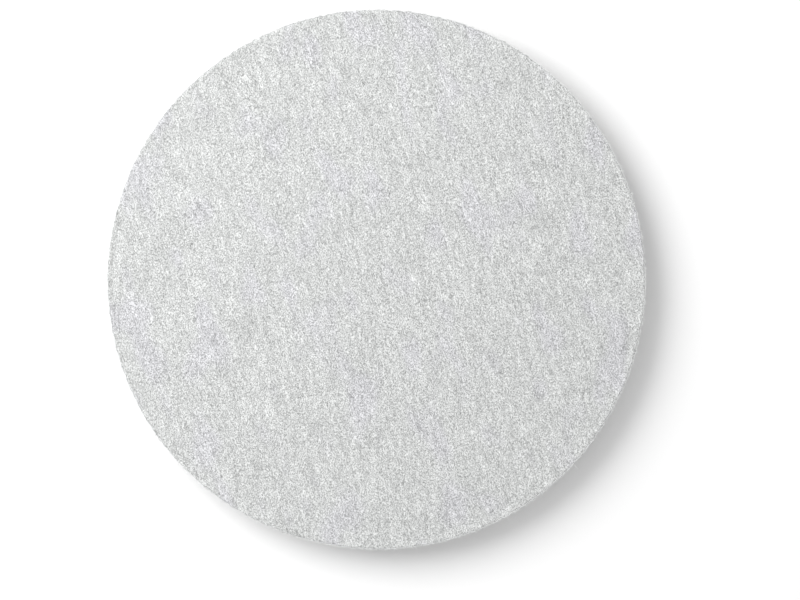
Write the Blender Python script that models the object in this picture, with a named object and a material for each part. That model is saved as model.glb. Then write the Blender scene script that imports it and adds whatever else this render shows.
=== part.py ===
"""Felt polishing wheel: a thick felt disc with a hook-and-loop back.

The wheel is a bonded stack of three round layers. It lies flat with its polishing
face up, and the centre of its back is at the origin. From the bottom up:

  loop_backing    knitted loop fabric, which grips a hook-faced backing pad
  adhesive_film   hot-melt film, which bonds the felt to the fabric
  felt_disc       pressed wool felt, which polishes

Nothing in the stack moves. Lengths are in metres.
"""

import math

import bmesh
import bpy

# Driving dimensions.
WHEEL_DIAMETER = 0.150
WHEEL_THICKNESS = 0.010
LOOP_FABRIC_THICKNESS = 0.0012
ADHESIVE_THICKNESS = 0.0003

# The felt is die cut: its face edge is worn round, and its back edge is nearly sharp.
FACE_EDGE_RADIUS = 0.0010
BACK_EDGE_RADIUS = 0.0003
FABRIC_EDGE_RADIUS = 0.0003

# The fabric and the film stop a little inside the felt's cut wall.
FABRIC_SETBACK = 0.0003
ADHESIVE_SETBACK = 0.0006

# Meshes that touch keep this much clear of each other.
CONTACT_GAP = 0.0003

# Facets.
RIM_SEGMENTS = 192
EDGE_SEGMENTS = 3


def clear_scene():
    """Remove every object that the file opened with."""
    for old in list(bpy.data.objects):
        bpy.data.objects.remove(old, do_unlink=True)


def make_material(name, color, roughness):
    """Give a non-metallic Principled material of one colour."""
    material = bpy.data.materials.new(name)
    material.use_nodes = True
    material.diffuse_color = (*color, 1.0)
    shader = material.node_tree.nodes["Principled BSDF"]
    shader.inputs["Base Color"].default_value = (*color, 1.0)
    shader.inputs["Roughness"].default_value = roughness
    shader.inputs["Metallic"].default_value = 0.0
    return material


def edge_arc(radius, z, edge_radius, toward_face):
    """Give (radius, height) points that round an outer edge, from low to high."""
    if edge_radius == 0.0:
        return [(radius, z)]
    points = []
    for step in range(EDGE_SEGMENTS + 1):
        angle = 0.5 * math.pi * step / EDGE_SEGMENTS
        inward = edge_radius * (1.0 - math.cos(angle))
        drop = edge_radius * (1.0 - math.sin(angle))
        points.append((radius - inward, z - drop if toward_face else z + drop))
    return points if toward_face else points[::-1]


def layer_profile(radius, bottom, top, back_edge, face_edge):
    """Give the outline of half a layer, from the axis below to the axis above."""
    profile = [(0.0, bottom)]
    profile += edge_arc(radius, bottom, back_edge, toward_face=False)
    profile += edge_arc(radius, top, face_edge, toward_face=True)
    profile.append((0.0, top))
    return profile


def make_layer(name, profile, material):
    """Turn an outline about the vertical axis into one closed round layer."""
    shape = bmesh.new()
    points = [shape.verts.new((radius, 0.0, z)) for radius, z in profile]
    edges = [shape.edges.new(pair) for pair in zip(points, points[1:])]
    bmesh.ops.spin(
        shape,
        geom=points + edges,
        cent=(0.0, 0.0, 0.0),
        axis=(0.0, 0.0, 1.0),
        angle=2.0 * math.pi,
        steps=RIM_SEGMENTS,
        use_merge=True,
    )
    bmesh.ops.remove_doubles(shape, verts=shape.verts, dist=1e-6)
    bmesh.ops.recalc_face_normals(shape, faces=shape.faces)
    mesh = bpy.data.meshes.new(name)
    shape.to_mesh(mesh)
    shape.free()
    mesh.materials.append(material)
    mesh.shade_smooth()
    mesh.set_sharp_from_angle(angle=math.radians(40.0))
    layer = bpy.data.objects.new(name, mesh)
    bpy.context.scene.collection.objects.link(layer)
    return layer


def make_loop_backing(radius, bottom, top):
    """Make the fabric: a flat layer as thick as its pile stands."""
    material = make_material("loop_fabric", (0.74, 0.75, 0.76), 0.95)
    profile = layer_profile(
        radius, bottom, top, back_edge=FABRIC_EDGE_RADIUS, face_edge=0.0
    )
    return make_layer("loop_backing", profile, material)


def make_adhesive_film(radius, bottom, top):
    """Make the bond layer, with square edges."""
    material = make_material("hot_melt_adhesive", (0.80, 0.77, 0.68), 0.35)
    profile = layer_profile(radius, bottom, top, back_edge=0.0, face_edge=0.0)
    return make_layer("adhesive_film", profile, material)


def make_felt_disc(radius, bottom, top):
    """Make the felt: a thick disc whose face edge is rounded."""
    material = make_material("wool_felt", (0.66, 0.68, 0.67), 1.0)
    profile = layer_profile(
        radius, bottom, top, back_edge=BACK_EDGE_RADIUS, face_edge=FACE_EDGE_RADIUS
    )
    return make_layer("felt_disc", profile, material)


def build():
    """Stack the three layers from the back up."""
    clear_scene()
    wheel_radius = 0.5 * WHEEL_DIAMETER
    fabric_top = LOOP_FABRIC_THICKNESS
    film_bottom = fabric_top + CONTACT_GAP
    film_top = film_bottom + ADHESIVE_THICKNESS
    felt_bottom = film_top + CONTACT_GAP
    layers = [
        make_loop_backing(wheel_radius - FABRIC_SETBACK, 0.0, fabric_top),
        make_adhesive_film(wheel_radius - ADHESIVE_SETBACK, film_bottom, film_top),
        make_felt_disc(wheel_radius, felt_bottom, WHEEL_THICKNESS),
    ]
    wheel = bpy.data.objects.new("wheel", None)
    bpy.context.scene.collection.objects.link(wheel)
    for layer in layers:
        layer.parent = wheel


build()
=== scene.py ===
"""The looks of a felt polishing wheel: a thick disc of pressed wool felt on a loop fabric back.

The felt is one solid body with a soft, uneven face. Thousands of loose wool fibres lie on the
face and on the cut wall, stand a little off the face, and fray round the rim. Under the felt are a
bond layer and a knitted cloth with a pile of loops. Lengths are in metres, and MM is one millimetre.
"""

import math

import bpy
import numpy as np
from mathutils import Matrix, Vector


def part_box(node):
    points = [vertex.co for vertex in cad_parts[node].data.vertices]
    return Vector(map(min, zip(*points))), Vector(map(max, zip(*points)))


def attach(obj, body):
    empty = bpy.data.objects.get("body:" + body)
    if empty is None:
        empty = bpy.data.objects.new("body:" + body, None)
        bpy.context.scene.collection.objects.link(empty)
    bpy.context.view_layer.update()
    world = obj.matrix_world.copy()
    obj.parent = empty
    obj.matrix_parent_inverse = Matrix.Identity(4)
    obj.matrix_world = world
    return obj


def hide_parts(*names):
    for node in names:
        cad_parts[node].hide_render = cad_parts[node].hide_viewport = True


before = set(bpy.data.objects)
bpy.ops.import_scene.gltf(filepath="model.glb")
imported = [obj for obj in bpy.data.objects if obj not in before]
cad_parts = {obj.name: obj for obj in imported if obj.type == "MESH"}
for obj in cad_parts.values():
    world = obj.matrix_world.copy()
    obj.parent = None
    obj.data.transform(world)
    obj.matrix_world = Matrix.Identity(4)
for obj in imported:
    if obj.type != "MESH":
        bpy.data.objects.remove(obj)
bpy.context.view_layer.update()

MM = 0.001

# The high corner of each CAD solid's box gives its radius and the height of its top.
_, FELT_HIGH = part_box("felt_disc")
_, FILM_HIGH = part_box("adhesive_film")
_, LOOP_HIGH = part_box("loop_backing")
FELT_RADIUS = FELT_HIGH.x
FACE_Z = FELT_HIGH.z
FILM_RADIUS = FILM_HIGH.x
CLOTH_RADIUS = LOOP_HIGH.x

# The felt's shape. Its solid stops short of the CAD rim and face, and loose wool fills the rest.
FELT_BACK = FILM_HIGH.z + 0.02 * MM  # where the bond meets it
RIM_SETBACK = 0.4 * MM
FACE_SETBACK = 0.12 * MM
OUTLINE_WANDER = 0.14 * MM  # how far a hand-fed die cut strays from a true circle
OUTLINE_TUFTS = 0.06 * MM  # how far small tufts push the outline out and in
EDGE_ROUND = 0.35 * MM
RIM_LIP = 0.14 * MM  # the cut lifts the face a little along the rim
RIM_LIP_WIDTH = 2.2 * MM
WALL_HOLLOW = 0.25 * MM  # the die squeezes the felt, so its wall is slightly hollow
FIBRE_LEAN = math.radians(15.0)  # the wool was carded along Y, leaning this much towards -X
FIBRE_SPREAD = math.radians(20.0)

# The back: cloth with a knitted ground, and loops that stand down from it to the resting plane.
GROUND_Z = 0.72 * MM
WALE = 1.25 * MM  # between columns of stitches
COURSE = 1.0 * MM  # between rows of stitches
LOOP_YARN = 0.06 * MM  # half the yarn's thickness

# How fine the meshes are: rings of triangles in each face, and levels down each wall.
FELT_RINGS, FELT_LEVELS = 150, 16
BOND_RINGS, BOND_LEVELS = 60, 6
CLOTH_RINGS, CLOTH_LEVELS = 175, 3
# The last rings of each face crowd together, this far in from its edge.
RIM_INSETS = (1.4 * MM, 0.9 * MM, 0.5 * MM, 0.22 * MM, 0.06 * MM, 0.0)

# Loose strands: how many, and how each is made.
FACE_FIBRES = 50000
WALL_FIBRES = 18000
RIM_HAIRS = 11000
FACE_HAIRS = 8000
CLOTH_ENDS = 2500
STRAND_FLATNESS = 0.4  # strands lie flat: their height is this share of a round strand's
PIECE_STRANDS = 6000  # most strands in one piece
CELL_MARGIN = 0.12  # each strand has a square cell of its piece's map, with this margin all round


# ---------------------------------------------------------------- numbers and meshes


def ripples(points, wavelength, seed):
    """Smooth noise of about unit size: many plane waves of nearly one wavelength."""
    waves = 28
    rng = np.random.default_rng(seed)
    dims = points.shape[-1]
    total = np.zeros(points.shape[:-1])
    for _ in range(waves):
        direction = rng.normal(size=dims)
        direction /= np.linalg.norm(direction)
        length = wavelength * rng.uniform(0.7, 1.4)
        phase = rng.uniform(0.0, 2.0 * math.pi)
        total += np.sin(points @ direction * (2.0 * math.pi / length) + phase)
    return total * math.sqrt(2.0 / waves)


def smooth_step(share):
    """0 to 1, with a gentle start and end."""
    share = np.clip(share, 0.0, 1.0)
    return share * share * (3.0 - 2.0 * share)


def directions(angle):
    """Flat vectors one unit long."""
    return np.stack([np.cos(angle), np.sin(angle)], -1)


def round_points(radius, angle, z):
    """Points at a distance and a direction from the axis, and at a height."""
    return np.stack([radius * np.cos(angle), radius * np.sin(angle), z], -1)


def make_piece(name, points, faces, material, uv=None):
    """Make a smooth-shaded object from points, faces and each face corner's place on its map."""
    mesh = bpy.data.meshes.new(name)
    mesh.from_pydata(points.tolist(), [], faces)
    if uv is not None:
        layer = mesh.uv_layers.new(name="OFBake")
        layer.data.foreach_set("uv", np.asarray(uv, np.float32).ravel())
    mesh.shade_smooth()
    mesh.materials.append(material)
    mesh.update()
    piece = bpy.data.objects.new(name, mesh)
    bpy.context.scene.collection.objects.link(piece)
    return piece


def disc_lattice(rings):
    """A round lattice of near-equal triangles, with 6 more points in each ring than in the last.

    Gives each point's share of the radius and its angle, and the triangles.
    """
    share = [0.0]
    angle = [0.0]
    start = [0]
    for ring in range(1, rings + 1):
        start.append(len(share))
        for step in range(6 * ring):
            share.append(ring / rings)
            angle.append(2.0 * math.pi * step / (6 * ring))
    triangles = []
    for ring in range(1, rings + 1):
        inner_count = max(6 * (ring - 1), 1)
        outer_count = 6 * ring
        for sector in range(6):
            for step in range(ring):
                outer = start[ring] + sector * ring + step
                outer_next = start[ring] + (sector * ring + step + 1) % outer_count
                inner = start[ring - 1] + (sector * (ring - 1) + step) % inner_count
                triangles.append((inner, outer, outer_next))
                if step < ring - 1:
                    inner_next = start[ring - 1] + (sector * (ring - 1) + step + 1) % inner_count
                    triangles.append((inner, outer_next, inner_next))
    return np.array(share), np.array(angle), np.array(triangles)


# ---------------------------------------------------------------- materials


class Nodes:
    """A short way to write one material's node tree."""

    def __init__(self, name):
        self.material = bpy.data.materials.new(name)
        self.material.use_nodes = True
        self.tree = self.material.node_tree
        self.shader = self.tree.nodes["Principled BSDF"]
        self.place = self.tree.nodes.new("ShaderNodeTexCoord").outputs["Object"]

    def link(self, source, socket):
        self.tree.links.new(source, socket)

    def put(self, socket, value):
        if isinstance(value, bpy.types.NodeSocket):
            self.link(value, socket)
        else:
            socket.default_value = value

    def vector_maths(self, operation, first, second):
        node = self.tree.nodes.new("ShaderNodeVectorMath")
        node.operation = operation
        self.put(node.inputs[0], first)
        self.put(node.inputs["Scale"] if operation == "SCALE" else node.inputs[1], second)
        return node.outputs[0]

    def maths(self, operation, first, second):
        node = self.tree.nodes.new("ShaderNodeMath")
        node.operation = operation
        self.put(node.inputs[0], first)
        self.put(node.inputs[1], second)
        return node.outputs[0]

    def noise(self, place, size, detail, roughness=0.5, output="Fac"):
        """Noise whose blobs are about size across."""
        node = self.tree.nodes.new("ShaderNodeTexNoise")
        self.link(place, node.inputs["Vector"])
        node.inputs["Scale"].default_value = 1.0 / size
        node.inputs["Detail"].default_value = detail
        node.inputs["Roughness"].default_value = roughness
        return node.outputs[output]

    def turned(self, place, angle, stretch):
        """place turned about Z, then squeezed, so that noise on it is drawn out by stretch."""
        node = self.tree.nodes.new("ShaderNodeMapping")
        node.vector_type = "TEXTURE"
        self.link(place, node.inputs["Vector"])
        node.inputs["Rotation"].default_value = (0.0, 0.0, angle)
        node.inputs["Scale"].default_value = stretch
        return node.outputs["Vector"]

    def warped(self, place, size, reach):
        """place pushed about by smooth noise, which bends straight streaks."""
        push = self.noise(place, size, detail=1.0, output="Color")
        push = self.vector_maths("SUBTRACT", push, (0.5, 0.5, 0.5))
        push = self.vector_maths("SCALE", push, 2.0 * reach)
        return self.vector_maths("ADD", place, push)

    def spread(self, value, low, high, out_low, out_high):
        """value carried from low and high to out_low and out_high, and held between them."""
        node = self.tree.nodes.new("ShaderNodeMapRange")
        self.link(value, node.inputs["Value"])
        node.inputs["From Min"].default_value = low
        node.inputs["From Max"].default_value = high
        node.inputs["To Min"].default_value = out_low
        node.inputs["To Max"].default_value = out_high
        return node.outputs["Result"]

    def mix(self, share, first, second):
        """A colour between two colours."""
        node = self.tree.nodes.new("ShaderNodeMix")
        node.data_type = "RGBA"
        self.put(node.inputs[0], share)
        self.put(node.inputs[6], first)
        self.put(node.inputs[7], second)
        return node.outputs[2]

    def bump(self, height, distance):
        node = self.tree.nodes.new("ShaderNodeBump")
        self.link(height, node.inputs["Height"])
        node.inputs["Distance"].default_value = distance
        return node.outputs["Normal"]

    def strand_value(self):
        """A random value from 0 to 1 that each strand has to itself."""
        return self.tree.nodes.new("ShaderNodeNewGeometry").outputs["Random Per Island"]


def streaks(nodes, width, length, angles, bend):
    """Noise drawn out along several directions, the strongest of them at each point."""
    place = nodes.warped(nodes.place, 6.0 * width, bend)
    strongest = None
    for angle in angles:
        drawn = nodes.turned(place, angle, (1.0, length / width, 1.0))
        value = nodes.noise(drawn, width, detail=1.5, roughness=0.6)
        strongest = value if strongest is None else nodes.maths("MAXIMUM", strongest, value)
    return strongest


def wool_mottle(nodes):
    """A faint mottle: streaks along the carding, and broad patches, some of them slightly lilac."""
    bent = nodes.warped(nodes.place, 9.0 * MM, 1.2 * MM)
    streak = nodes.noise(nodes.turned(bent, FIBRE_LEAN, (1.0, 6.0, 1.0)), 1.1 * MM, detail=1.0)
    broad = nodes.turned(nodes.place, FIBRE_LEAN, (1.0, 2.0, 1.0))
    patch = nodes.noise(broad, 5.0 * MM, detail=2.0)
    shade = nodes.maths(
        "MULTIPLY", nodes.spread(streak, 0.3, 0.7, 0.84, 1.0), nodes.spread(patch, 0.3, 0.7, 0.94, 1.0)
    )
    lilac = nodes.spread(nodes.noise(broad, 9.0 * MM, detail=1.0), 0.53, 0.67, 0.0, 1.0)
    tint = nodes.mix(lilac, (0.999, 1.0, 0.997, 1), (0.995, 0.984, 1.016, 1))
    return nodes.vector_maths("SCALE", tint, shade)


def grain_and_gap_shade(nodes, stretch):
    """Fine short flecks, drawn out by stretch: random fibre tone and painted shade in the gaps."""
    bent = nodes.warped(nodes.place, 6.0 * MM, 0.6 * MM)
    drawn = nodes.turned(bent, FIBRE_LEAN, stretch)
    # Painted shade: the dark end of this range stands for shadowed gaps between fibres.
    return nodes.spread(nodes.noise(drawn, 0.22 * MM, detail=0.0), 0.28, 0.64, 0.44, 1.02)


def wool_body_material():
    """Pressed wool: pale fibre streaks, painted shade in the low gaps, and a faint mottle."""
    nodes = Nodes("wool_felt_body")
    angles = [FIBRE_LEAN + k * FIBRE_SPREAD for k in (-1.2, 0.0, 1.2)]
    fine = streaks(nodes, 0.30 * MM, 1.3 * MM, angles, 0.35 * MM)
    grain = nodes.noise(nodes.place, 0.32 * MM, detail=1.0)
    height = nodes.maths("ADD", nodes.maths("MULTIPLY", grain, 0.5), fine)
    # Painted shade: the colour is darker where the height is low, in the gaps between fibres.
    pale = nodes.mix(
        nodes.spread(height, 0.62, 1.05, 0.0, 1.0), (0.61, 0.619, 0.615, 1), (0.752, 0.763, 0.758, 1)
    )
    colour = nodes.vector_maths("SCALE", pale, grain_and_gap_shade(nodes, (1.0, 1.9, 1.0)))
    colour = nodes.vector_maths("MULTIPLY", colour, wool_mottle(nodes))
    nodes.link(colour, nodes.shader.inputs["Base Color"])
    nodes.link(nodes.spread(grain, 0.2, 0.8, 0.88, 1.0), nodes.shader.inputs["Roughness"])
    nodes.link(nodes.bump(height, 0.05 * MM), nodes.shader.inputs["Normal"])
    nodes.shader.inputs["Sheen Weight"].default_value = 0.25
    nodes.shader.inputs["Sheen Roughness"].default_value = 0.6
    nodes.shader.inputs["Specular IOR Level"].default_value = 0.2
    return nodes.material


def finish_wool_strands(nodes, colour):
    """Give a material its colour and the soft finish of single wool fibres."""
    nodes.link(colour, nodes.shader.inputs["Base Color"])
    nodes.shader.inputs["Roughness"].default_value = 0.85
    nodes.shader.inputs["Sheen Weight"].default_value = 0.2
    nodes.shader.inputs["Sheen Roughness"].default_value = 0.5
    nodes.shader.inputs["Specular IOR Level"].default_value = 0.3
    return nodes.material


def wool_fibre_material(name, stretch):
    """Loose wool: short streaks of tone and painted gap shade, each strand a little unlike the next."""
    nodes = Nodes(name)
    colour = nodes.mix(nodes.strand_value(), (0.68, 0.69, 0.686, 1), (0.765, 0.776, 0.772, 1))
    colour = nodes.vector_maths("SCALE", colour, grain_and_gap_shade(nodes, stretch))
    colour = nodes.vector_maths("MULTIPLY", colour, wool_mottle(nodes))
    return finish_wool_strands(nodes, colour)


def fuzz_painted_light_material():
    """Single free hairs, painted paler than the massed wool: painted light for the light that comes
    through them.
    """
    nodes = Nodes("wool_fuzz")
    # Painted light: these colours are lighter than the wool's own, to show light passing through thin
    # hairs.
    colour = nodes.mix(nodes.strand_value(), (0.78, 0.79, 0.786, 1), (0.89, 0.90, 0.896, 1))
    return finish_wool_strands(nodes, colour)


def bond_material():
    """Hot-melt adhesive: yellowish, cloudy and satin."""
    nodes = Nodes("hot_melt")
    cloud = nodes.spread(nodes.noise(nodes.place, 2.5 * MM, detail=2.0), 0.3, 0.7, 0.0, 1.0)
    colour = nodes.mix(cloud, (0.70, 0.66, 0.55, 1), (0.84, 0.81, 0.72, 1))
    nodes.link(colour, nodes.shader.inputs["Base Color"])
    nodes.shader.inputs["Roughness"].default_value = 0.38
    nodes.shader.inputs["Subsurface Weight"].default_value = 0.3
    nodes.shader.inputs["Subsurface Radius"].default_value = (1.2 * MM, 1.0 * MM, 0.7 * MM)
    return nodes.material


def cloth_material():
    """Knitted nylon: a fine grain of pale and darker cool grey, the darker grey painted shade in the
    grain's dips.
    """
    nodes = Nodes("loop_cloth_ground")
    grain = nodes.noise(nodes.place, 0.25 * MM, detail=1.0)
    shade = nodes.spread(grain, 0.3, 0.7, 0.0, 1.0)
    # Painted shade: the same noise makes the bump, so the colour darkens in its dips.
    colour = nodes.mix(shade, (0.52, 0.53, 0.54, 1), (0.74, 0.75, 0.76, 1))
    nodes.link(colour, nodes.shader.inputs["Base Color"])
    nodes.link(nodes.bump(grain, 0.05 * MM), nodes.shader.inputs["Normal"])
    nodes.shader.inputs["Roughness"].default_value = 0.8
    nodes.shader.inputs["Sheen Weight"].default_value = 0.2
    nodes.shader.inputs["Specular IOR Level"].default_value = 0.3
    return nodes.material


def pile_material():
    """Nylon yarn: smoother and a little shinier than wool."""
    nodes = Nodes("pile_yarn")
    colour = nodes.mix(nodes.strand_value(), (0.66, 0.67, 0.685, 1), (0.86, 0.865, 0.875, 1))
    nodes.link(colour, nodes.shader.inputs["Base Color"])
    nodes.shader.inputs["Roughness"].default_value = 0.5
    nodes.shader.inputs["Sheen Weight"].default_value = 0.2
    nodes.shader.inputs["Specular IOR Level"].default_value = 0.4
    return nodes.material


# ---------------------------------------------------------------- the felt


def felt_radius(angle):
    """How far out the felt's cut edge is, for each direction."""
    turn = directions(angle)
    wander = ripples(turn, 1.5, seed=3)
    tufts = ripples(turn * FELT_RADIUS, 2.6 * MM, seed=4)
    return FELT_RADIUS - RIM_SETBACK + OUTLINE_WANDER * wander + OUTLINE_TUFTS * tufts


def face_relief(x, y):
    """How far the felt's face stands above its mean plane."""
    across = x * math.cos(FIBRE_LEAN) + y * math.sin(FIBRE_LEAN)
    along = y * math.cos(FIBRE_LEAN) - x * math.sin(FIBRE_LEAN)
    slow = 0.05 * MM * ripples(np.stack([x, y], -1), 34 * MM, seed=11)
    locks = 0.012 * MM * ripples(np.stack([across, 0.4 * along], -1), 4.5 * MM, seed=12)
    return slow + locks


def face_height(x, y):
    """The height of the felt's face, with its lip and its rounded edge."""
    radius = np.hypot(x, y)
    inside = felt_radius(np.arctan2(y, x)) - radius
    lip = RIM_LIP * (1.0 - smooth_step(inside / RIM_LIP_WIDTH))
    reach = np.clip(1.0 - inside / EDGE_ROUND, 0.0, 1.0)
    round_off = EDGE_ROUND * (1.0 - np.sqrt(1.0 - reach**2))
    return FACE_Z - FACE_SETBACK + face_relief(x, y) + lip - round_off


def wall_radius(angle, z):
    """How far out the cut wall is at a height: hollowed by the die, and a little rough."""
    drop = np.clip((FACE_Z - z) / (FACE_Z - FELT_BACK), 0.0, 1.0)
    hollow = WALL_HOLLOW * np.sin(math.pi * drop) ** 0.8
    layered = round_points(FELT_RADIUS, angle, 2.5 * z)  # the roughness is finer in height than around
    rough = 0.05 * MM * ripples(layered, 2.2 * MM, seed=21) * np.sqrt(np.sin(math.pi * drop))
    return felt_radius(angle) - hollow + rough


def make_round_body(name, material, rings, outline, face, wall, plain_z, levels):
    """A closed disc with one shaped face, a wall, and a plain face on the other side.

    outline(angle) and wall(angle, z) are radii, and face(x, y) is a height. The plain face may be
    above the shaped one.
    """
    share, angle, triangles = disc_lattice(rings)
    ring = np.rint(share * rings).astype(int)
    even = rings + 1 - len(RIM_INSETS)  # rings that are evenly spaced
    inset = np.array(RIM_INSETS)[np.maximum(ring - even, 0)]
    radius = (outline(angle) - inset) * np.minimum(ring / even, 1.0)
    x = radius * np.cos(angle)
    y = radius * np.sin(angle)
    z = face(x, y)
    rim_count = 6 * rings
    first_rim = len(x) - rim_count
    rim_angle = angle[first_rim:]
    rim_z = z[first_rim:]
    points = [np.stack([x, y, z], -1)]
    loops = [first_rim + np.arange(rim_count)]
    loops += [len(x) + rim_count * level + np.arange(rim_count) for level in range(levels)]
    for level in range(1, levels + 1):
        level_z = rim_z + (plain_z - rim_z) * level / levels
        points.append(round_points(wall(rim_angle, level_z), rim_angle, level_z))
    centre = len(x) + rim_count * levels
    points.append(np.array([[0.0, 0.0, plain_z]]))
    faces = triangles.tolist()
    for upper, lower in zip(loops, loops[1:]):
        faces += np.stack([upper, lower, np.roll(lower, -1), np.roll(upper, -1)], -1).tolist()
    last = loops[-1]
    faces += np.stack([np.full(rim_count, centre), np.roll(last, -1), last], -1).tolist()
    all_points = np.concatenate(points)
    uv = round_map(all_points, faces, len(triangles), rim_count, levels)
    if plain_z > z.mean():  # every face has to look outwards
        turned = []
        start = 0
        for index, corners in enumerate(faces):
            turned += uv[start : start + len(corners)][::-1]
            start += len(corners)
            faces[index] = corners[::-1]
        uv = turned
    return make_piece(name, all_points, faces, material, uv)


def round_map(points, faces, face_count, rim_count, levels):
    """Lay the face out as a disc, the wall as two strips below it, and the back in a corner."""
    flat = points[:, :2] / (np.abs(points[:, :2]).max() * 1.001)
    face_places = (0.5, 0.55) + 0.44 * flat
    back_places = (0.94, 0.94) + 0.05 * flat
    wall_end = face_count + rim_count * levels
    strip = rim_count // 2
    uv = face_places[np.array(faces[:face_count])].reshape(-1, 2).tolist()
    for index in range(rim_count * levels):
        level, step = divmod(index, rim_count)
        half, step = divmod(step, strip)
        for across, down in ((0, 0), (0, 1), (1, 1), (1, 0)):
            u = 0.01 + 0.98 * (step + across) / strip
            v = 0.05 * half + 0.045 * (1.0 - (level + down) / levels)
            uv.append([u, 0.003 + v])
    uv += back_places[np.array(faces[wall_end:])].reshape(-1, 2).tolist()
    return uv


def make_felt_body(material):
    """The pressed felt itself: its uneven face, its cut wall and its flat back."""
    return make_round_body(
        "felt_body", material, FELT_RINGS, felt_radius, face_height, wall_radius, FELT_BACK, FELT_LEVELS
    )


# ---------------------------------------------------------------- strands


def strand_pieces(name, paths, radii, material):
    """Tubes along paths (strands, points, 3), pointed at both ends, in pieces of limited size."""
    pieces = []
    count = math.ceil(len(paths) / PIECE_STRANDS)
    for index, part in enumerate(np.array_split(np.arange(len(paths)), count)):
        label = f"{name}_{index + 1}" if count > 1 else name
        pieces.append(strand_piece(label, paths[part], radii[part], material))
    return pieces


def strand_piece(name, paths, radii, material):
    """One object holding a three-sided tube for each path. Its first and last points are tips."""
    strands, length, _ = paths.shape
    rings = length - 2
    along = np.gradient(paths, axis=1)
    along /= np.linalg.norm(along, axis=2, keepdims=True) + 1e-12
    nearly_up = np.array([0.03, 0.02, 1.0])  # an upright strand has a side too
    side = np.cross(along, nearly_up)
    side /= np.linalg.norm(side, axis=2, keepdims=True) + 1e-12
    above = np.cross(side, along)
    points = np.empty((strands, 2 + 3 * rings, 3))
    points[:, 0] = paths[:, 0]
    points[:, -1] = paths[:, -1]
    taper = 0.55 + 0.45 * np.sin(math.pi * (np.arange(rings) + 0.5) / rings) ** 0.5
    for corner in range(3):
        turn = math.pi * (0.5 + 2.0 * corner / 3.0)
        offset = side[:, 1:-1] * math.cos(turn) + above[:, 1:-1] * (STRAND_FLATNESS * math.sin(turn))
        width = radii[:, None, None] * taper[None, :, None]
        points[:, 1 + corner : -1 : 3] = paths[:, 1:-1] + offset * width
    faces, cell_uv = strand_faces(rings)
    base = (np.arange(strands) * (2 + 3 * rings))[:, None, None]
    triangles = (faces[None] + base).reshape(-1, 3).tolist()
    grid = math.ceil(math.sqrt(strands))
    cell = np.stack([np.arange(strands) % grid, np.arange(strands) // grid], -1)
    uv = (cell[:, None, :] + cell_uv[None]) / grid
    return make_piece(name, points.reshape(-1, 3), triangles, material, uv)


def strand_faces(rings):
    """The triangles of one strand, and their corners' places in a unit square."""
    last = 1 + 3 * rings
    span = 1.0 - 2.0 * CELL_MARGIN
    faces = []
    uv = []

    def at(ring, corner):
        return 1 + 3 * ring + corner % 3

    def spot(ring, corner):
        along = CELL_MARGIN + span * (ring + 1) / (rings + 1)
        return along, CELL_MARGIN + span * corner / 3

    for corner in range(3):
        faces.append((0, at(0, corner + 1), at(0, corner)))
        uv += [spot(-1, corner + 0.5), spot(0, corner + 1), spot(0, corner)]
        for ring in range(rings - 1):
            low, low_next = at(ring, corner), at(ring, corner + 1)
            high, high_next = at(ring + 1, corner), at(ring + 1, corner + 1)
            faces.append((low, low_next, high_next))
            uv += [spot(ring, corner), spot(ring, corner + 1), spot(ring + 1, corner + 1)]
            faces.append((low, high_next, high))
            uv += [spot(ring, corner), spot(ring + 1, corner + 1), spot(ring + 1, corner)]
        faces.append((last, at(rings - 1, corner), at(rings - 1, corner + 1)))
        uv += [spot(rings, corner + 0.5), spot(rings - 1, corner), spot(rings - 1, corner + 1)]
    return np.array(faces), np.array(uv)


def curls(rng, heading, length, points):
    """Crimped curves in a plane, each about its own middle, for headings and lengths."""
    count = len(heading)
    share = np.linspace(0.0, 1.0, points)[None, :]
    crimp = rng.uniform(0.25, 0.9, count)[:, None]
    wave = rng.uniform(0.9, 2.2, count)[:, None] * MM
    phase = rng.uniform(0.0, 2.0 * math.pi, count)[:, None]
    drift = rng.normal(0.0, 0.45, count)[:, None]
    turn = heading[:, None] + drift * (share - 0.5)
    turn += crimp * np.sin(2.0 * math.pi * share * length[:, None] / wave + phase)
    step = length[:, None] / (points - 1)
    x = np.cumsum(np.cos(turn) * step, axis=1)
    y = np.cumsum(np.sin(turn) * step, axis=1)
    return x - x.mean(axis=1, keepdims=True), y - y.mean(axis=1, keepdims=True)


def even_places(rng, count):
    """Places spread evenly over the face, a little shaken: a sunflower's pattern."""
    order = np.arange(count) + 0.5
    radius = FELT_RADIUS * np.sqrt(order / count)
    angle = order * math.pi * (3.0 - math.sqrt(5.0))
    shake = rng.normal(0.0, 0.25 * MM, (2, count))
    return radius * np.cos(angle) + shake[0], radius * np.sin(angle) + shake[1]


def held_inside(x, y, margin):
    """The same places, with those beyond the felt's edge, less a margin, brought back to it."""
    inward = np.minimum(1.0, (felt_radius(np.arctan2(y, x)) - margin) / np.hypot(x, y))
    return x * inward, y * inward


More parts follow.
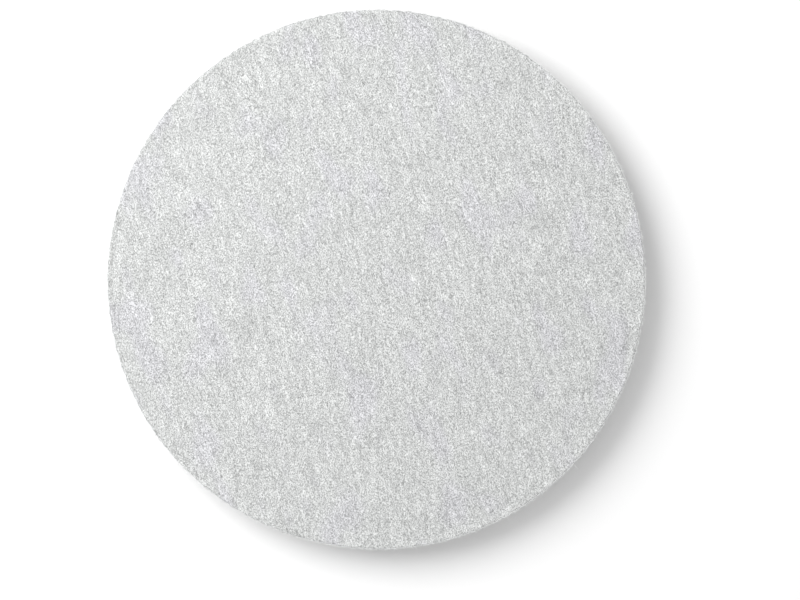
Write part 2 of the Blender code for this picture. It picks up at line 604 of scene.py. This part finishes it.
def make_face_fibres(material, count, seed):
    """Curly fibres lying on the face, mostly along the carding direction, in loosely combed locks."""
    rng = np.random.default_rng(seed)
    middle_x, middle_y = even_places(rng, count)
    locks = 0.3 * ripples(np.stack([middle_x, 0.6 * middle_y], -1), 9.0 * MM, seed=33)
    heading = math.pi / 2 + FIBRE_LEAN + locks + rng.normal(0.0, FIBRE_SPREAD, count)
    x, y = curls(rng, heading, rng.uniform(0.8, 2.4, count) * MM, points=5)
    x += middle_x[:, None]
    y += middle_y[:, None]
    overhang = (np.hypot(x, y) - felt_radius(np.arctan2(y, x))).max(axis=1)
    keep = overhang < 0.35 * MM * rng.uniform(0.0, 1.0, count)
    x, y = x[keep], y[keep]
    thick = rng.uniform(0.03, 0.055, len(x)) * MM
    sink = rng.uniform(-0.5, 0.9, len(x)) * thick
    lift = rng.gamma(1.3, 0.02, len(x)) * MM
    arch = np.sin(np.linspace(0.0, math.pi, x.shape[1])) ** 1.5
    z = face_height(*held_inside(x, y, 0.3 * MM)) + sink[:, None] + lift[:, None] * arch
    z[:, [0, -1]] -= 0.05 * MM
    return strand_pieces("face_fibres", np.stack([x, y, z], -1), thick, material)


def make_wall_fibres(material, count, seed):
    """Cut fibres lying on the wall, mostly level, as the batts were laid."""
    rng = np.random.default_rng(seed)
    middle = 2.0 * math.pi * (np.arange(count) * 0.5 * (math.sqrt(5.0) - 1.0) % 1.0)
    height = rng.uniform(FELT_BACK + 0.1 * MM, FACE_Z - 0.2 * MM, count)
    heading = rng.normal(0.0, 0.55, count)
    across, up = curls(rng, heading, rng.uniform(0.8, 2.8, count) * MM, points=7)
    angle = middle[:, None] + across / FELT_RADIUS
    z = np.clip(height[:, None] + up, FELT_BACK, FACE_Z - 0.25 * MM)
    thick = rng.uniform(0.04, 0.075, count) * MM
    out = rng.uniform(-0.5, 0.8, count) * thick + rng.gamma(1.3, 0.04, count) * MM
    paths = round_points(wall_radius(angle, z) + out[:, None], angle, z)
    return strand_pieces("wall_fibres", paths, thick, material)


def hairs(rng, root, heading, climb, length):
    """Free hairs from their roots: each sets out along heading and climb, and bends as it goes."""
    count = len(length)
    points = 6
    share = np.linspace(0.0, 1.0, points)[None, :]
    turn = heading[:, None] + rng.normal(0.0, 1.3, count)[:, None] * share
    rise = climb[:, None] + rng.normal(0.0, 0.8, count)[:, None] * share
    step = length[:, None] / (points - 1)
    going = np.stack([np.cos(rise) * np.cos(turn), np.cos(rise) * np.sin(turn), np.sin(rise)], -1)
    path = np.cumsum(going * step[..., None], axis=1)
    return root[:, None, :] + path - path[:, :1]


def make_rim_fuzz(material, count, seed):
    """Hairs that fray outwards all round the cut edge, a few of them long."""
    rng = np.random.default_rng(seed)
    angle = 2.0 * math.pi * (np.arange(count) + rng.uniform(0.0, 1.0, count)) / count
    z = FACE_Z - 0.05 * MM - rng.exponential(0.15 * MM, count)
    root = round_points(wall_radius(angle, z) - 0.1 * MM, angle, z)
    length = (0.25 + rng.gamma(1.5, 0.2, count)) * MM
    heading = angle + rng.normal(0.0, 0.8, count)
    climb = rng.normal(0.5, 0.4, count)
    paths = hairs(rng, root, heading, climb, length)
    return strand_pieces("rim_fuzz", paths, rng.uniform(0.025, 0.05, count) * MM, material)


def make_face_fuzz(material, count, seed):
    """Thin hairs that stand a little off the face."""
    rng = np.random.default_rng(seed)
    x, y = held_inside(*even_places(rng, count), 0.4 * MM)
    root = np.stack([x, y, face_height(x, y)], -1)
    length = (0.5 + np.minimum(rng.gamma(1.5, 0.3, count), 1.2)) * MM
    heading = rng.uniform(0.0, 2.0 * math.pi, count)
    climb = rng.uniform(0.0, 0.7, count)
    paths = hairs(rng, root, heading, climb, length)
    floor = face_height(paths[..., 0], paths[..., 1]) - 0.05 * MM
    inside = np.hypot(paths[..., 0], paths[..., 1]) < FELT_RADIUS - 0.8 * MM
    paths[..., 2] = np.where(inside, np.maximum(paths[..., 2], floor), paths[..., 2])
    return strand_pieces("face_fuzz", paths, rng.uniform(0.02, 0.045, count) * MM, material)


# ---------------------------------------------------------------- the back


def film_radius(angle):
    """The edge of the bond, which squeezed out unevenly."""
    return FILM_RADIUS + 0.12 * MM * ripples(directions(angle) * FILM_RADIUS, 9.0 * MM, seed=51)


def cloth_radius(angle):
    """The cut edge of the loop cloth."""
    return CLOTH_RADIUS + 0.07 * MM * ripples(directions(angle) * CLOTH_RADIUS, 6.0 * MM, seed=52)


def make_bond(material):
    """The hot-melt layer between cloth and felt, with a rounded, wavy bead along its edge."""
    top = FELT_BACK

    def face(x, y):
        return np.full(x.shape, top)

    def wall(angle, z):
        share = np.clip((top - z) / (top - LOOP_HIGH.z), 0.0, 1.0)
        return film_radius(angle) + 0.16 * MM * np.sin(math.pi * share)

    return make_round_body(
        "bond_layer", material, BOND_RINGS, film_radius, face, wall, LOOP_HIGH.z, BOND_LEVELS
    )


def knit(x, y):
    """Stitches of the cloth's ground: a V in each cell, from -1 to 1."""
    column = x / WALE
    place = np.abs(column - np.rint(column))
    row = y / COURSE + 1.3 * place
    return np.cos(2.0 * math.pi * row) * 0.5 + np.cos(4.0 * math.pi * place) * 0.5


def make_cloth(material):
    """The loop cloth's ground, knitted, with its stitches towards the resting plane."""

    def face(x, y):
        return GROUND_Z + 0.07 * MM * knit(x, y)

    def wall(angle, z):
        return cloth_radius(angle)

    return make_round_body(
        "loop_cloth", material, CLOTH_RINGS, cloth_radius, face, wall, LOOP_HIGH.z, CLOTH_LEVELS
    )


def make_pile(material, seed):
    """Loops of yarn, one to a stitch, leaning over and down to the resting plane."""
    rng = np.random.default_rng(seed)
    columns = int(CLOTH_RADIUS / WALE)
    rows = int(CLOTH_RADIUS / COURSE)
    column, row = np.meshgrid(np.arange(-columns, columns + 1), np.arange(-rows, rows + 1))
    x = column.ravel() * WALE + rng.normal(0.0, 0.12 * MM, column.size)
    y = row.ravel() * COURSE + rng.normal(0.0, 0.12 * MM, row.size)
    inside = np.hypot(x, y) < CLOTH_RADIUS - 0.8 * MM
    x, y = x[inside], y[inside]
    count = len(x)
    bow = np.linspace(0.0, math.pi, 8)[None, :]
    heading = rng.normal(0.0, 0.7, count)[:, None]
    half = rng.uniform(0.35, 0.6, count)[:, None] * MM
    along = -np.cos(bow) * half * (1.0 + 0.3 * np.sin(bow))
    lean = np.sin(bow) * rng.normal(0.35, 0.25, count)[:, None] * MM
    lean_side = np.sin(bow) * rng.normal(0.0, 0.2, count)[:, None] * MM
    drop = (GROUND_Z - LOOP_YARN - 0.01 * MM) * rng.uniform(0.7, 1.0, count)[:, None]
    path_x = x[:, None] + np.cos(heading) * along + lean_side
    path_y = y[:, None] + np.sin(heading) * along + lean
    path_z = GROUND_Z + 0.03 * MM - (drop + 0.03 * MM) * np.sin(bow) ** 0.7
    paths = np.stack([path_x, path_y, path_z], -1)
    thick = rng.uniform(0.75, 1.0, count) * LOOP_YARN
    return strand_pieces("pile_loops", paths, thick, material)


def make_fray(material, count, seed):
    """Short cut filaments along the edge of the cloth."""
    rng = np.random.default_rng(seed)
    angle = 2.0 * math.pi * (np.arange(count) + rng.uniform(0.0, 1.0, count)) / count
    z = rng.uniform(GROUND_Z, LOOP_HIGH.z, count)
    root = round_points(cloth_radius(angle) - 0.05 * MM, angle, z)
    length = (0.15 + rng.gamma(1.4, 0.14, count)) * MM
    heading = angle + rng.normal(0.0, 0.7, count)
    climb = rng.normal(-0.2, 0.4, count)
    paths = hairs(rng, root, heading, climb, length)
    paths[..., 2] = np.clip(paths[..., 2], 0.06 * MM, FELT_BACK)
    return strand_pieces("cloth_fray", paths, rng.uniform(0.02, 0.035, count) * MM, material)


# ---------------------------------------------------------------- the scene


def make_floor():
    """A wide white floor under the wheel."""
    half = 6.0
    corners = np.array([(-half, -half, 0), (half, -half, 0), (half, half, 0), (-half, half, 0)])
    nodes = Nodes("white_floor")
    nodes.shader.inputs["Base Color"].default_value = (0.80, 0.80, 0.80, 1)
    nodes.shader.inputs["Roughness"].default_value = 1.0
    nodes.shader.inputs["Specular IOR Level"].default_value = 0.0
    floor = make_piece("floor", corners, [(0, 1, 2, 3)], nodes.material)


def make_camera():
    """Look straight down. The wheel sits a little up and left of the picture's middle."""
    frame_width = 0.2217  # across the picture, at the height of the felt's face
    beside, below = 6.50 * MM, -5.66 * MM  # where the picture's middle is
    data = bpy.data.cameras.new("camera")
    data.lens = 100.0
    data.sensor_width = 36.0
    distance = frame_width * data.lens / data.sensor_width
    camera = bpy.data.objects.new("camera", data)
    camera.location = (beside, below, FACE_Z + distance)
    data.clip_start = 0.01
    data.clip_end = 20.0
    bpy.context.scene.collection.objects.link(camera)
    bpy.context.scene.camera = camera


def make_lights():
    """One large soft light from the upper left, and pale surroundings."""
    azimuth = math.radians(146.0)
    elevation = math.radians(42.0)
    distance = 0.62
    data = bpy.data.lights.new("softbox", "AREA")
    data.shape = "DISK"
    data.size = 0.58
    data.energy = 4.83
    light = bpy.data.objects.new("softbox", data)
    flat = distance * math.cos(elevation)
    light.location = (flat * math.cos(azimuth), flat * math.sin(azimuth), distance * math.sin(elevation))
    light.rotation_mode = "QUATERNION"
    light.rotation_quaternion = light.location.to_track_quat("Z", "Y")
    bpy.context.scene.collection.objects.link(light)
    world = bpy.data.worlds.new("surroundings")
    world.use_nodes = True
    nodes = world.node_tree.nodes
    links = world.node_tree.links
    # At the horizon the surroundings are as bright as the far floor, and they are brighter overhead.
    split = nodes.new("ShaderNodeSeparateXYZ")
    links.new(nodes.new("ShaderNodeTexCoord").outputs["Generated"], split.inputs[0])
    fade = nodes.new("ShaderNodeMapRange")
    fade.interpolation_type = "SMOOTHSTEP"
    fade.inputs["From Max"].default_value = 0.30
    fade.inputs["To Min"].default_value = 0.64
    fade.inputs["To Max"].default_value = 0.81
    links.new(split.outputs["Z"], fade.inputs["Value"])
    links.new(fade.outputs["Result"], nodes["Background"].inputs["Strength"])
    nodes["Background"].inputs["Color"].default_value = (1.0, 1.0, 1.0, 1)
    bpy.context.scene.world = world
    bpy.context.scene.view_settings.view_transform = "Standard"


def add(pieces, node=None):
    """Fix pieces to the wheel's one body, and hide the CAD solid that they stand for."""
    for piece in pieces:
        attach(piece, "root")
        if node:
            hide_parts(node)


face_wool = wool_fibre_material("wool_fibre_face", (1.0, 1.9, 20.0))  # drawn out along the carding
wall_wool = wool_fibre_material("wool_fibre_wall", (2.5, 2.5, 1.0))  # drawn out level
felt = make_felt_body(wool_body_material())
add([felt], "felt_disc")
add(make_face_fibres(face_wool, FACE_FIBRES, seed=31))
add(make_wall_fibres(wall_wool, WALL_FIBRES, seed=32))
add(make_rim_fuzz(fuzz_painted_light_material(), RIM_HAIRS, seed=34))
add(make_face_fuzz(face_wool, FACE_HAIRS, seed=35))

add([make_bond(bond_material())], "adhesive_film")

cloth = make_cloth(cloth_material())
yarn = pile_material()
pile = make_pile(yarn, seed=41) + make_fray(yarn, CLOTH_ENDS, seed=42)
add([cloth], "loop_backing")
add(pile)

make_floor()
make_camera()
make_lights()
